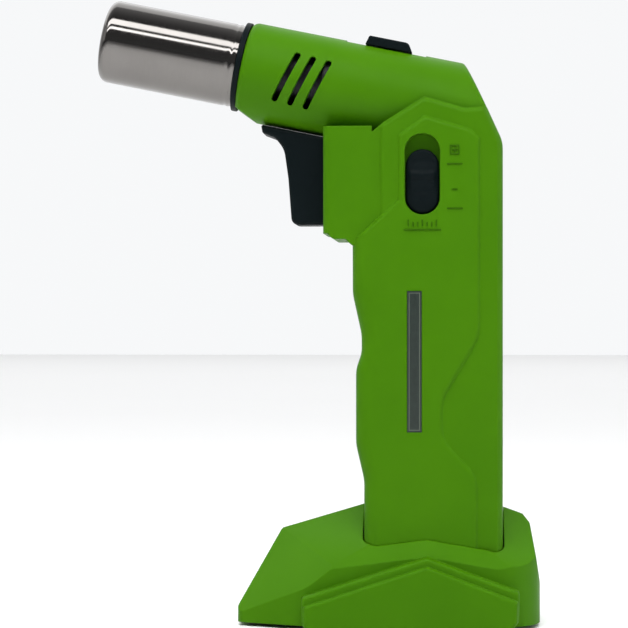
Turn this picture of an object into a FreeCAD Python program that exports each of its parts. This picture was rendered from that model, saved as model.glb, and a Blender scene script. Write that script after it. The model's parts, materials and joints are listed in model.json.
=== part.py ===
import FreeCAD
import Part
import math
import os

# Hand-held butane torch on its stand.  Millimetres, +Z up, the nozzle points to -X,
# the left side of the torch is -Y.  Origin: centre of the bounding box, on the table.

V = FreeCAD.Vector

# ---- driving dimensions -------------------------------------------------------------
# barrel frame: u runs forward along the barrel, v is square to it and upward
BARREL_TILT = 11.5          # degrees, nozzle raised above level
BURNER_V = 150.8            # distance of the burner axis from the origin
HOUSING_V = 149.9           # distance of the round housing's axis
HOUSING_R = 14.1
HOUSING_FRONT_U = 52.0
TUBE_R = 11.8
TUBE_WALL = 0.7
TUBE_TIP_U = 93.05
MOUTH_ROLL = 2.6            # outer radius of the mouth, rolled inward
COLLAR_THICK = 1.6
SPIGOT_R = 10.7             # collar spigot in the housing and in the tube
LIP_LENGTH = 1.6
LIP_RISE = 0.3
WALL = 2.0                  # housing wall

HANDLE_BACK = 52.5          # X of the back face
HANDLE_HALF = 17.2          # half width over the raised side panels
PANEL_STEP = 0.8            # rise of each side panel over the one outside it
HANDLE_BOTTOM = 6.0         # Z of the handle's foot, standing in the socket
EDGE_R = 4.0                # rounding along the handle's upright corners
HEAD_FRONT = 2.3            # X of the head's front face behind the trigger
CROWN = (30.6, 148.2)       # peak of the raised shoulder on the side

STAND_FRONT = -21.8
STAND_BACK = 63.0
STAND_HALF = 27.0           # half width over the outer side panels
STAND_SIDE = 21.6           # half width of the stand's own side walls
CHEVRON_STEP = 1.7          # thickness of each chevron panel on the stand's sides
FOOT_RISE = 1.0             # gap under the stand's body between its side panels
RIDGE_X = 13.5              # X and height of the stand's ridge at the front of the socket
RIDGE_Z = 33.3
RIDGE_BACK_Z = 32.2         # and its height at the back of the socket
CHEVRON_PEAK = 20.6         # height of the upper chevron's peak
STEP_ROUND = 1.1            # rounding along the chevron panels' edges
PANEL_ROUND = 1.6           # rounding along the handle's side panels' edges
STAND_WALL = 2.2
SOCKET_GAP = 0.4            # play of the handle in the socket, all round
RIM_PEAK = (31.5, 24.8)     # X and height of the socket rim's peak on each side
RIM_SLOPE = 1.1             # fall of the rim outwards, mm per mm
SOCKET_FLOOR = 5.7          # Z of the ledge that carries the handle

TRIGGER_TRAVEL = 6.0
TRIGGER_HALF = 6.0
SLIDER_TRAVEL = 4.0
LOCK_FLOOR_V = 163.3        # floor of the shallow recess for the lock button
LOCK_U = 12.4               # middle of the lock button
LOCK_BUTTON = 13.6
LOCK_STEM = 6.0
LABEL = (25.9, 29.9, 54.6, 93.8)
SCREW_HEAD_Y = 14.0
SCREW_HEAD_R = 2.4
SLOT_CENTRE = (30.1, 126.4)
SLOT_W = 9.8
SLOT_L = 22.6
LOCK_TRAVEL = 3.0
TANK_HALF_X = 15.0
TANK_HALF_Y = 12.6
TANK_X = 33.0               # the tank's and the valves' common axis
TANK_BOTTOM = 17.0
TANK_TOP = 88.0
TANK_WALL = 1.6
STEM_LIFT = 1.0
REFILL_STROKE = 1.5
SCREW_R = 1.3
BOSS_R = 3.1
FIT = 0.3                   # gap between pieces that move past each other
SEAT = 0.05                 # gap between pieces that seat in each other

# burner, along u
MIXER_R = 4.5               # brass tube from the jet to the burner head
MIXER_START_U = 23.0
MIXER_END_U = 79.0
FLAME_U = 71.0
SPARK_OFFSET = 7.6          # the spark wire runs this far above the burner axis
INSULATOR_R = 1.9
SLEEVE_R = 10.3
SLEEVE_WALL = 0.4
SLEEVE_START_U = 22.0
SLEEVE_END_U = 42.5
JET_U = 10.5
JET_R = 4.6
JET_TIP_R = 1.5
# igniter: a case in the barrel frame, its plunger pushed by the trigger
PIEZO_V = 126.5
PIEZO_FRONT_U = 10.0
PIEZO_BACK_U = -15.0
PIEZO_H = 11.0
PIEZO_W = 10.0
PLUNGER_R = 3.0
PLUNGER_HEAD_U = 18.6
# valves and gas lever
LEVER_PIVOT = (45.5, 108.4)
LEVER_PIN_R = 1.0
VALVE_R = 4.8
VALVE_NECK_R = 3.5
STEM_R = 1.2
RING_Z = TANK_TOP + 10.6
PIN_REACH = 12.7
CAM_SWING = 2.0             # sideways reach of the adjuster pin each way
REFILL_R = 4.6
# flow slider and lock
PLATE_Y = (-13.3, -12.1)    # slider plate, just inside the left wall
LOCK_BAR_V = 158.6

BODY_HALF = HANDLE_HALF - 2 * PANEL_STEP
CAVITY_HALF = BODY_HALF - WALL
C = math.cos(math.radians(BARREL_TILT))
S = math.sin(math.radians(BARREL_TILT))
BARREL = FreeCAD.Rotation(V(0, 1, 0), BARREL_TILT).multiply(FreeCAD.Rotation(V(0, 0, 1), 180))
X, Y, Z = V(1, 0, 0), V(0, 1, 0), V(0, 0, 1)


# ---- helpers ------------------------------------------------------------------------
def on_barrel(u, v, y=0.0):
    """World point of barrel coordinates."""
    return V(-C * u + S * v, y, S * u + C * v)


def tilt(shape):
    """Moves a shape drawn in barrel coordinates (u, -y, v) to its place."""
    shape.Placement = FreeCAD.Placement(V(), BARREL).multiply(shape.Placement)
    return shape


def box(x0, x1, y0, y1, z0, z1):
    return Part.makeBox(x1 - x0, y1 - y0, z1 - z0, V(x0, y0, z0))


def rod(x, y, z, axis, radius, length):
    return Part.makeCylinder(radius, length, V(x, y, z), axis)


def pipe(x, y, z, axis, radius, bore, length):
    return rod(x, y, z, axis, radius, length).cut(rod(x, y, z, axis, bore, length))


def outline(points, place):
    """Face from corners (a, b, radius); place() turns (a, b) into a vector."""
    edges = []
    ends = []
    for i, corner in enumerate(points):
        p = place(corner[0], corner[1])
        radius = corner[2] if len(corner) > 2 else 0.0
        before = place(*points[i - 1][:2]) - p
        after = place(*points[(i + 1) % len(points)][:2]) - p
        if radius == 0.0:
            ends.append((p, p, None))
            continue
        half = before.getAngle(after) / 2
        reach = radius / math.tan(half)
        before.normalize()
        after.normalize()
        middle = (before + after).normalize()
        arc_mid = p + middle * (radius / math.sin(half) - radius)
        ends.append((p + before * reach, p + after * reach, arc_mid))
    for i, (start, end, arc_mid) in enumerate(ends):
        if arc_mid is not None:
            edges.append(Part.Arc(start, arc_mid, end).toShape())
        edges.append(Part.makeLine(end, ends[(i + 1) % len(ends)][0]))
    return Part.Face(Part.Wire(edges))


def side_plate(points, y0, y1):
    """Solid with a side outline (x, z, radius) between two planes across Y."""
    return outline(points, lambda a, b: V(a, y0, b)).extrude(V(0, y1 - y0, 0))


def plan_plate(points, z0, z1):
    """Solid with a plan outline (x, y, radius) between two heights."""
    return outline(points, lambda a, b: V(a, b, z0)).extrude(V(0, 0, z1 - z0))


def fuse(shapes):
    return shapes[0].multiFuse(shapes[1:]).removeSplitter()


def below(point, normal):
    """Large block whose one face lies on a plane, filling the side under it."""
    block = Part.makeBox(400, 400, 200, V(-200, -200, -200))
    block.Placement = FreeCAD.Placement(point, FreeCAD.Rotation(Z, normal))
    return block


def coil(x, y, z, radius, wire, length, turns):
    """Upright compression spring with its lowest turn resting on z."""
    rise = length - 2 * wire
    helix = Part.makeHelix(rise / turns, rise, radius)
    section = Part.Wire(Part.makeCircle(wire, V(radius, 0, 0), Y))
    spring = Part.Wire(helix).makePipeShell([section], True, True)
    spring.translate(V(x, y, z + wire))
    return spring


def bent_rod(points, radius, bend):
    """Round rod along straight runs joined by tangent arcs of one radius."""
    edges = []
    last = points[0]
    for before, p, after in zip(points, points[1:], points[2:]):
        a = (before - p).normalize()
        b = (after - p).normalize()
        half = a.getAngle(b) / 2
        reach = bend / math.tan(half)
        middle = (a + b).normalize()
        arc_mid = p + middle * (bend / math.sin(half) - bend)
        edges.append(Part.makeLine(last, p + a * reach))
        edges.append(Part.Arc(p + a * reach, arc_mid, p + b * reach).toShape())
        last = p + b * reach
    edges.append(Part.makeLine(last, points[-1]))
    start = (points[1] - points[0]).normalize()
    section = Part.Wire(Part.makeCircle(radius, points[0], start))
    return Part.Wire(edges).makePipeShell([section], True, False)


def near_edges(shape, test):
    """Edges of a shape whose middle point passes a test."""
    picked = []
    for edge in shape.Edges:
        middle = edge.valueAt((edge.FirstParameter + edge.LastParameter) / 2)
        if test(middle, edge):
            picked.append(edge)
    return picked


def raised(points, half, rounding, low=-1.0):
    """Side outline carried across the body, its outer edges above a height rounded."""
    plate = side_plate(points, -half, half)

    def outer(middle, edge):
        return abs(abs(middle.y) - half) < 1e-3 and middle.z > low
    return plate.makeFillet(rounding, near_edges(plate, outer))


def save(name, shape):
    os.makedirs("parts", exist_ok=True)
    shape.exportStep("parts/" + name + ".step")


# ---- housing outlines ---------------------------------------------------------------
# front of the handle from its foot up to the trigger, with the hollow for the fingers
HANDLE_FRONT = [
    (13.8, HANDLE_BOTTOM), (13.8, 41.0, 14), (11.5, 51.0, 14), (11.5, 72.0, 10),
    (13.1, 76.6, 8), (13.1, 81.7, 14), (10.6, 93.0, 14), (10.4, 106.6),
]
GUARD = [
    (10.4, 106.6, 1.5), (8.6, 108.4, 1.5), (5.0, 108.4, 1.5), (3.2, 110.4, 1.5),
    (HEAD_FRONT + 0.6, 112.5, 4), (HEAD_FRONT, 140.0), (16, 140), (16, 106.6),
]
BACK_ROUND = 1.6            # rounding where the sloping back cuts the barrel
SLOPE_TOP = (41.8, 158.9)
SLOPE_FOOT = (HANDLE_BACK, 135.5)


def on_slope(z):
    """X of the sloping back of the head at a height."""
    t = (SLOPE_TOP[1] - z) / (SLOPE_TOP[1] - SLOPE_FOOT[1])
    return SLOPE_TOP[0] + t * (SLOPE_FOOT[0] - SLOPE_TOP[0])


SLOPE_NORMAL = V(SLOPE_TOP[1] - SLOPE_FOOT[1], 0, SLOPE_FOOT[0] - SLOPE_TOP[0])
SHOULDER = [
    (15.3, 137.7), (19.2, 141.0), CROWN, (41.7, 144.9), (on_slope(145.3), 145.3),
]
BACK = [(HANDLE_BACK, SLOPE_FOOT[1], 9), (HANDLE_BACK, HANDLE_BOTTOM)]
PANEL_EDGE = 46.3           # X of the inner panel's back edge
PANEL_FRONT = 23.1          # X of its front edge on the head


def handle_envelope():
    """Full-width handle with rounded upright corners."""
    h = HANDLE_HALF
    front = HANDLE_FRONT[:-1] + [(10.4, 160.0)]
    block = side_plate(front + [(on_slope(160.0), 160.0)] + BACK, -h, h)

    def upright(middle, edge):
        on_side = abs(abs(middle.y) - h) < 1e-3
        return on_side and (middle.x < 14 or middle.x > on_slope(160.0) + 0.1)
    return block.makeFillet(EDGE_R, near_edges(block, upright))


def head_block():
    """Front strip of the head, behind the trigger, with the finger guard below it."""
    h = BODY_HALF
    strip = [(HEAD_FRONT, 110.0), (HEAD_FRONT, 139.4), (15.3, 137.7), (19.2, 141.0), (24, 141), (24, 110)]
    block = side_plate(strip, -h, h).fuse(side_plate(GUARD, -h, h)).removeSplitter()

    def front_edge(middle, edge):
        return abs(abs(middle.y) - h) < 1e-3 and middle.x < 4.2 and middle.z < 139 and middle.z > 110.1
    return block.makeFillet(2.0, near_edges(block, front_edge))


def side_levels():
    """The handle and shoulder with their two raised side panels."""
    step = [(10.4, 107.5), (18.0, 114.8), (18.0, 139.95), (19.2, 141.0)]
    low = HANDLE_FRONT[:-1] + step + SHOULDER[2:] + BACK
    top = HANDLE_FRONT[:-1] + [(10.4, 107.5), (12.8, 109.7), (PANEL_FRONT, 119.4), (PANEL_FRONT, 137.4)]
    top += [(CROWN[0], 143.0), (43.4, 139.3), (PANEL_EDGE, 136.4)]
    top += [(PANEL_EDGE, 81.0, 12), (36.0, 63.5, 9), (36.0, 52.5, 9), (45.6, 42.5, 8), (45.6, HANDLE_BOTTOM)]
    h = HANDLE_HALF
    inner = side_plate(HANDLE_FRONT[:-1] + [(10.4, 108.0), (16, 114)] + SHOULDER[1:] + BACK, -BODY_HALF, BODY_HALF)
    low = raised(low, h - PANEL_STEP, PANEL_ROUND)
    top = raised(top, h, PANEL_ROUND)
    return fuse([inner, low, top]).common(handle_envelope())


def barrel_body():
    """Round housing behind the nozzle, rounded at its mouth, cut by the sloping back."""
    tube = Part.makeCylinder(HOUSING_R, 120, V(-68, 0, HOUSING_V), X)
    rim = near_edges(tube, lambda m, e: abs(m.x - HOUSING_FRONT_U) < 1e-3)
    tube = tilt(tube.makeFillet(2.0, rim))
    chin = below(on_barrel(51.0, 138.4), on_barrel(0.42, -0.90) - on_barrel(0, 0))
    slope = below(V(SLOPE_TOP[0], 0, SLOPE_TOP[1]), SLOPE_NORMAL)
    tube = tube.common(chin).common(slope).common(below(V(0, 0, 136), V(0, 0, -1)))

    def cut_rim(middle, edge):
        on_plane = abs((middle - V(SLOPE_TOP[0], 0, SLOPE_TOP[1])).dot(SLOPE_NORMAL)) < 1e-3
        return on_plane and middle.z > 137
    return tube.makeFillet(BACK_ROUND, near_edges(tube, cut_rim))


SCREWS = [(20.4, 11.3), (45.6, 11.3), (18.2, 99.0), (47.2, 99.0), (45.0, 136.0)]


def cavity():
    """Hollow of the handle, head and barrel."""
    b = HANDLE_BACK - WALL
    f = HEAD_FRONT + WALL
    inside = [
        (15.8, HANDLE_BOTTOM + WALL), (15.8, 84.0), (12.6, 95.0), (12.6, 111.2), (f, 111.2), (f, 135.4),
        (17.8, 135.4), (CROWN[0], 145.4), (42.0, 142.3), (on_slope(141.0) - 2.3, 141.0),
        (b, SLOPE_FOOT[1] - 0.6), (b, HANDLE_BOTTOM + WALL),
    ]
    room = side_plate(inside, -CAVITY_HALF, CAVITY_HALF)
    bore = tilt(Part.makeCylinder(SPIGOT_R, 30, V(30, 0, BURNER_V), X))
    tube = tilt(Part.makeCylinder(HOUSING_R - WALL, 72, V(-30, 0, HOUSING_V), X))
    back = below(V(SLOPE_TOP[0] - 1.3 * WALL, 0, SLOPE_TOP[1]), SLOPE_NORMAL)
    tube = tube.common(back).common(box(-60, 60, -20, 20, 134, 180))
    neck = box(f, 40, -8, 8, 130, 143)
    return fuse([room, bore, tube, neck])


def vent_slots(y0, y1):
    """Three slanted air slots through one side of the barrel."""
    cuts = []
    for i in range(3):
        x = -4.6 + 4.35 * i
        z = 160.2 - 1.15 * i
        slot = [(x + 0.9, z + 0.4, 0.8), (x - 6.4, z - 13.0, 0.8), (x - 8.1, z - 12.6, 0.8), (x - 0.9, z + 0.8, 0.8)]
        cuts.append(side_plate(slot, y0, y1))
    return cuts


def bosses(y0, y1, bore):
    out = []
    for x, z in SCREWS:
        out.append(pipe(x, y0, z, Y, BOSS_R, bore, y1 - y0))
    return out


def shells():
    """Left and right halves of the housing, split on the middle plane."""
    mouth = TRIGGER_HALF + FIT
    opening = box(-4, HEAD_FRONT + WALL + 0.5, -mouth, mouth, 111.0, 142.0)
    body = fuse([side_levels(), head_block().cut(opening), barrel_body()])
    recess = Part.makeBox(23.1, 40, 6, V(1.6, -20, LOCK_FLOOR_V))
    slot_start = LOCK_U - LOCK_STEM / 2 - FIT
    slot = Part.makeBox(LOCK_STEM + LOCK_TRAVEL + 2 * FIT, 5.0, 8, V(slot_start, -2.5, 158))
    foot_hole = rod(TANK_X, 0, HANDLE_BOTTOM - 1, Z, REFILL_R + 0.4, WALL + 2)
    hollow = cut_all(body, [cavity(), foot_hole, tilt(recess), tilt(slot)])
    halves = []
    for side in (-1, 1):
        pin = SCREW_R if side < 0 else SCREW_R + 0.2
        inner = side * (CAVITY_HALF + 0.5)
        half = hollow.common(box(-80, 80, min(0, side * 40), max(0, side * 40), 0, 200))
        half = fuse([half] + bosses(min(0, inner), max(0, inner), pin))
        if side < 0:
            cuts = vent_slots(-20, 0) + [slider_opening(), label_pocket()]
        else:
            cuts = vent_slots(0, 20)
            cuts += [rod(x, 4, z, Y, SCREW_R + 0.2, 30) for x, z in SCREWS]
            cuts += [rod(x, SCREW_HEAD_Y, z, Y, SCREW_HEAD_R + 0.2, 30) for x, z in SCREWS]
        halves.append(cut_all(half, cuts))
    return halves


def cut_all(shape, cuts):
    for tool in cuts:
        shape = shape.cut(tool)
    return shape


def obround(x, z0, z1, width, y0, y1):
    """Upright bar with round ends, across Y."""
    r = width / 2
    arc_r = r - 0.01
    corners = [(x - r, z0, arc_r), (x + r, z0, arc_r), (x + r, z1, arc_r), (x - r, z1, arc_r)]
    return side_plate(corners, y0, y1)


def slider_opening():
    x, z = SLOT_CENTRE
    return obround(x, z - SLOT_L / 2, z + SLOT_L / 2, SLOT_W, -20, -CAVITY_HALF + 1)


def label_pocket():
    x0, x1, z0, z1 = LABEL
    return box(x0 - SEAT, x1 + SEAT, -HANDLE_HALF - 1, -HANDLE_HALF + 0.4, z0 - SEAT, z1 + SEAT)


def label_plate():
    x0, x1, z0, z1 = LABEL
    return box(x0, x1, -HANDLE_HALF - 0.05, -HANDLE_HALF + 0.35, z0, z1)


def shell_screws():
    """Pan-head screws driven from the right side into the left half's posts."""
    screws = []
    for x, z in SCREWS:
        head = rod(x, SCREW_HEAD_Y, z, Y, SCREW_HEAD_R, 1.6)
        shank = rod(x, -9.0, z, Y, SCREW_R, SCREW_HEAD_Y + 9.0)
        cross = fuse([box(x - 1.4, x + 1.4, SCREW_HEAD_Y + 0.8, SCREW_HEAD_Y + 2, z - 0.3, z + 0.3),
                      box(x - 0.3, x + 0.3, SCREW_HEAD_Y + 0.8, SCREW_HEAD_Y + 2, z - 1.4, z + 1.4)])
        screws.append(fuse([head, shank]).cut(cross))
    return Part.makeCompound(screws)


# ---- burner -------------------------------------------------------------------------
def nozzle_tube():
    """Stainless flame tube: its mouth rolled inward, a small lip where it meets the collar."""
    start, bend = HOUSING_FRONT_U + COLLAR_THICK, TUBE_TIP_U - MOUTH_ROLL
    outer, inner = TUBE_R, TUBE_R - TUBE_WALL
    slim = MOUTH_ROLL - TUBE_WALL
    half = math.sqrt(0.5)

    def at(u, r):
        return V(u, 0, r)
    edges = [
        Part.makeLine(at(start, inner), at(start, outer + LIP_RISE)),
        Part.makeLine(at(start, outer + LIP_RISE), at(start + LIP_LENGTH, outer + LIP_RISE)),
        Part.makeLine(at(start + LIP_LENGTH, outer + LIP_RISE), at(start + LIP_LENGTH, outer)),
        Part.makeLine(at(start + LIP_LENGTH, outer), at(bend, outer)),
        Part.Arc(at(bend, outer), at(bend + half * MOUTH_ROLL, outer - (1 - half) * MOUTH_ROLL),
                 at(TUBE_TIP_U, outer - MOUTH_ROLL)).toShape(),
        Part.makeLine(at(TUBE_TIP_U, outer - MOUTH_ROLL), at(TUBE_TIP_U - TUBE_WALL, outer - MOUTH_ROLL)),
        Part.Arc(at(TUBE_TIP_U - TUBE_WALL, outer - MOUTH_ROLL), at(bend + half * slim, inner - (1 - half) * slim),
                 at(bend, inner)).toShape(),
        Part.makeLine(at(bend, inner), at(start, inner)),
    ]
    tube = Part.Face(Part.Wire(edges)).revolve(V(), X, 360)
    tube.translate(V(0, 0, BURNER_V))
    return tilt(tube)


def nozzle_collar():
    """Dark ring that plugs into the housing and carries the flame tube."""
    ring = Part.makeCylinder(TUBE_R + 1.0, COLLAR_THICK, V(HOUSING_FRONT_U, 0, BURNER_V), X)
    rear = Part.makeCylinder(SPIGOT_R - SEAT, 9, V(HOUSING_FRONT_U - 9, 0, BURNER_V), X)
    front = Part.makeCylinder(TUBE_R - TUBE_WALL - SEAT, 4.4, V(HOUSING_FRONT_U + COLLAR_THICK, 0, BURNER_V), X)
    bore = Part.makeCylinder(MIXER_R + SEAT, 40, V(40, 0, BURNER_V), X)
    wire = Part.makeCylinder(INSULATOR_R + SEAT, 40, V(40, 0, BURNER_V + SPARK_OFFSET), X)
    air = []
    for i in range(1, 8):
        angle = math.radians(45 * i + 90)
        y, v = SPARK_OFFSET * math.cos(angle), SPARK_OFFSET * math.sin(angle)
        air.append(Part.makeCylinder(1.5, 40, V(40, y, BURNER_V + v), X))
    return tilt(cut_all(fuse([ring, rear, front]), [bore, wire] + air))


def flame_holder():
    """Pierced steel disc inside the flame tube, round the burner head."""
    disc = Part.makeCylinder(TUBE_R - TUBE_WALL - SEAT, 2.0, V(FLAME_U, 0, BURNER_V), X)
    holes = [Part.makeCylinder(MIXER_R + SEAT, 9, V(FLAME_U - 3, 0, BURNER_V), X)]
    for i in range(12):
        angle = math.radians(30 * i + 90)
        y, v = SPARK_OFFSET * math.cos(angle), SPARK_OFFSET * math.sin(angle)
        holes.append(Part.makeCylinder(1.2, 9, V(FLAME_U - 3, y, BURNER_V + v), X))
    return tilt(cut_all(disc, holes))


def mixing_tube():
    """Brass tube that carries gas and air from the jet to the burner head."""
    tube = Part.makeCylinder(MIXER_R, MIXER_END_U - MIXER_START_U, V(MIXER_START_U, 0, BURNER_V), X)
    bore = Part.makeCylinder(MIXER_R - 0.6, 100, V(MIXER_START_U - 1, 0, BURNER_V), X)
    air_u = MIXER_START_U + 9
    air = [Part.makeCylinder(1.6, 20, V(air_u, 0, BURNER_V - 10), Z),
           Part.makeCylinder(1.6, 20, V(air_u, -10, BURNER_V), Y)]
    return tilt(cut_all(tube, [bore] + air))


def burner_head():
    """Pierced brass plug in the end of the mixing tube."""
    u = MIXER_END_U - 4
    plug = Part.makeCylinder(MIXER_R - 0.6 - SEAT, 4, V(u, 0, BURNER_V), X)
    holes = [Part.makeCylinder(0.7, 9, V(u - 2, 0, BURNER_V), X)]
    for i in range(6):
        angle = math.radians(60 * i)
        y, v = 2.3 * math.cos(angle), 2.3 * math.sin(angle)
        holes.append(Part.makeCylinder(0.7, 9, V(u - 2, y, BURNER_V + v), X))
    return tilt(cut_all(plug, holes))


def jet_body():
    """Hexagonal brass holder behind the mixing tube, with its hose tail."""
    corners = [(JET_R * math.cos(math.radians(60 * i)), JET_R * math.sin(math.radians(60 * i))) for i in range(6)]
    block = outline(corners, lambda a, b: V(JET_U, a, BURNER_V + b)).extrude(V(10, 0, 0))
    nose = Part.makeCylinder(MIXER_R - 0.6 - SEAT, MIXER_START_U - JET_U - 6, V(JET_U + 10, 0, BURNER_V), X)
    tail = Part.makeCylinder(1.1, 6, V(JET_U - 6, 0, BURNER_V), X)
    bore = Part.makeCylinder(JET_TIP_R + SEAT, 12, V(JET_U + 8, 0, BURNER_V), X)
    return tilt(fuse([block, nose, tail]).cut(bore))


def gas_jet():
    """Small calibrated jet screwed into the nose of its holder."""
    u = JET_U + 8
    tip = Part.makeCylinder(JET_TIP_R, MIXER_START_U - JET_U - 3, V(u, 0, BURNER_V), X)
    return tilt(tip.cut(Part.makeCylinder(0.25, 40, V(u - 5, 0, BURNER_V), X)))


def burner_bracket():
    """Blackened disc that centres the mixing tube, with a sleeve that shields the housing."""
    u = MIXER_START_U + 4
    disc = Part.makeCylinder(HOUSING_R - WALL - SEAT, 2, V(u, 0, HOUSING_V), X)
    sleeve = Part.makeCylinder(SLEEVE_R, SLEEVE_END_U - SLEEVE_START_U, V(SLEEVE_START_U, 0, BURNER_V), X)
    front = Part.makeCylinder(SLEEVE_R - SLEEVE_WALL, SLEEVE_END_U, V(u + 2, 0, BURNER_V), X)
    rear = Part.makeCylinder(SLEEVE_R - SLEEVE_WALL, u, V(0, 0, BURNER_V), X)
    bore = Part.makeCylinder(MIXER_R + SEAT, 9, V(u - 3, 0, BURNER_V), X)
    wire = Part.makeCylinder(1.4, 9, V(u - 3, 0, BURNER_V + SPARK_OFFSET), X)
    air = [Part.makeCylinder(2.0, 9, V(u - 3, y, BURNER_V), X) for y in (-7.2, 7.2)]
    flat = box(-60, 60, -20, 20, 100, 139.6)
    return tilt(cut_all(disc.fuse(sleeve), [front, rear, bore, wire] + air)).cut(flat)


def spark_insulator():
    rod_u = HOUSING_FRONT_U - 14
    tube = Part.makeCylinder(INSULATOR_R, 30, V(rod_u, 0, BURNER_V + SPARK_OFFSET), X)
    return tilt(tube.cut(Part.makeCylinder(0.65, 50, V(rod_u - 5, 0, BURNER_V + SPARK_OFFSET), X)))


def electrode():
    """Spark wire, bent towards the burner head at its end."""
    v = BURNER_V + SPARK_OFFSET
    path = [on_barrel(HOUSING_FRONT_U - 17, v), on_barrel(FLAME_U + 9, v), on_barrel(FLAME_U + 12, v - 3.4)]
    return bent_rod(path, 0.6, 1.6)


def ignition_wire():
    """Insulated wire from the igniter's back end to the spark wire."""
    v = BURNER_V + SPARK_OFFSET
    path = [
        on_barrel(PIEZO_BACK_U + 3, PIEZO_V + PIEZO_H / 2, -3), on_barrel(PIEZO_BACK_U + 3, 145, -3),
        on_barrel(0, 156, -7.5), on_barrel(19.5, v, -7.5), on_barrel(24, v), on_barrel(HOUSING_FRONT_U - 17, v),
    ]
    return bent_rod(path, 0.8, 2.0)


def gas_hose():
    """Hose from the outlet valve's side tail up to the jet holder."""
    z = TANK_TOP + 7
    path = [
        V(TANK_X, 7.5, z), V(TANK_X, 10.6, z), V(37.6, 10.0, 136.0),
        on_barrel(-8.5, BURNER_V), on_barrel(JET_U - 6, BURNER_V),
    ]
    return bent_rod(path, 1.3, 2.8)


# ---- igniter and trigger --------------------------------------------------------------


def piezo_body():
    """Igniter case, with the bore its plunger slides in."""
    length = PIEZO_FRONT_U - PIEZO_BACK_U
    case = Part.makeBox(length, PIEZO_W, PIEZO_H, V(PIEZO_BACK_U, -PIEZO_W / 2, PIEZO_V - PIEZO_H / 2))
    depth = 2 * TRIGGER_TRAVEL + 1
    bore = Part.makeCylinder(PLUNGER_R + FIT, depth + 5, V(PIEZO_FRONT_U - depth, 0, PIEZO_V), X)
    return tilt(case.cut(bore))


def piezo_plunger():
    start = PIEZO_FRONT_U - TRIGGER_TRAVEL
    stem = Part.makeCylinder(PLUNGER_R, PLUNGER_HEAD_U - start, V(start, 0, PIEZO_V), X)
    return tilt(stem)


def trigger():
    """Finger trigger with the arm and ramp that lift the gas lever."""
    top = 135.4
    rear = 6.0
    level = [(x, (top - S * x) / C) for x in (-15.9, rear)]
    face = [
        (level[0][0], level[0][1], 0.5), (-15.5, 139.0, 0.8), (-11.9, 137.6, 2), (-9.3, 134.4, 7),
        (-8.1, 126.0, 30), (-7.1, 112.7, 2.2), (rear, 112.7), (level[1][0], level[1][1]),
    ]
    blade = side_plate(face, -TRIGGER_HALF, TRIGGER_HALF)

    def finger_edges(middle, edge):
        on_side = abs(abs(middle.y) - TRIGGER_HALF) < 1e-3
        return on_side and middle.x < -6 and middle.z < 137
    blade = blade.makeFillet(1.0, near_edges(blade, finger_edges))
    arm = [(rear - 1, 112.7), (rear - 1, 117.6), (16.2, 117.6), (16.6, 110.2), (21.5, 106.5),
           (21.5, 104.8), (13.2, 104.8), (13.2, 112.7)]
    return blade.fuse(side_plate(arm, -3, 3)).removeSplitter()


# ---- gas lever and outlet valve ---------------------------------------------------------


def gas_lever():
    """Fork that lifts the valve stem when the trigger's ramp raises its nose."""
    x, z = LEVER_PIVOT
    plate = [(22.9, 107.8, 0.7), (23.6, 106.9, 0.5), (27, 107.2), (x + 2, 107.2), (x + 2, 109.4), (22.9, 109.4)]
    body = side_plate(plate, -4, 4)
    eye = rod(x, -4, z, Y, 2.2, 8)
    bore = rod(x, -9, z, Y, LEVER_PIN_R + SEAT, 18)
    fork = box(TANK_X - 2.0, TANK_X + 2.0, -STEM_R - FIT, STEM_R + FIT, 100, 115)
    return cut_all(fuse([body, eye]), [bore, fork])


def lever_pin():
    x, z = LEVER_PIVOT
    return rod(x, -CAVITY_HALF, z, Y, LEVER_PIN_R, 2 * CAVITY_HALF)


def outlet_valve():
    """Brass valve body through the tank's top, with its side tail for the hose."""
    low = TANK_TOP - 8
    body = rod(TANK_X, 0, low, Z, VALVE_R, 18)
    neck = rod(TANK_X, 0, low + 18, Z, VALVE_NECK_R, 6)
    tail = rod(TANK_X, VALVE_R - 0.5, TANK_TOP + 7, Y, 1.1, 7.5 - VALVE_R + 0.5)
    bore = rod(TANK_X, 0, low - 1, Z, STEM_R + FIT, 40)
    chamber = rod(TANK_X, 0, low + 2, Z, STEM_R + 2.0, 11.5)
    return cut_all(fuse([body, neck, tail]), [bore, chamber])


def outlet_stem():
    """Valve stem: a collar in the chamber, a neck in the fork, and a head above it."""
    low = TANK_TOP - 8
    rod_z = low + 2.4
    neck = rod(TANK_X, 0, rod_z, Z, STEM_R, 111.2 - rod_z)
    collar = rod(TANK_X, 0, rod_z, Z, STEM_R + 1.6, 1.2)
    head = rod(TANK_X, 0, 109.9, Z, STEM_R + 1.4, 1.5)
    return fuse([neck, collar, head])


def outlet_spring():
    low = TANK_TOP - 8
    return coil(TANK_X, 0, low + 3.65, STEM_R + 1.05, 0.3, 9.8, 5)


def valve_nut():
    corners = [(8.0 * math.cos(math.radians(60 * i)), 8.0 * math.sin(math.radians(60 * i))) for i in range(6)]
    nut = plan_plate([(TANK_X + a, b) for a, b in corners], TANK_TOP + 1, TANK_TOP + 4)
    return nut.cut(rod(TANK_X, 0, TANK_TOP - 5, Z, VALVE_R + SEAT, 20))


def valve_seal():
    return pipe(TANK_X, 0, TANK_TOP, Z, VALVE_R + 1.5, VALVE_R + SEAT, 1.0)


def gas_filter():
    return rod(TANK_X, 0, TANK_TOP - 12, Z, 2.6, 4)


def dip_tube():
    return pipe(TANK_X, 0, 34, Z, 1.4, 0.8, TANK_TOP - 12 - 34)


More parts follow.
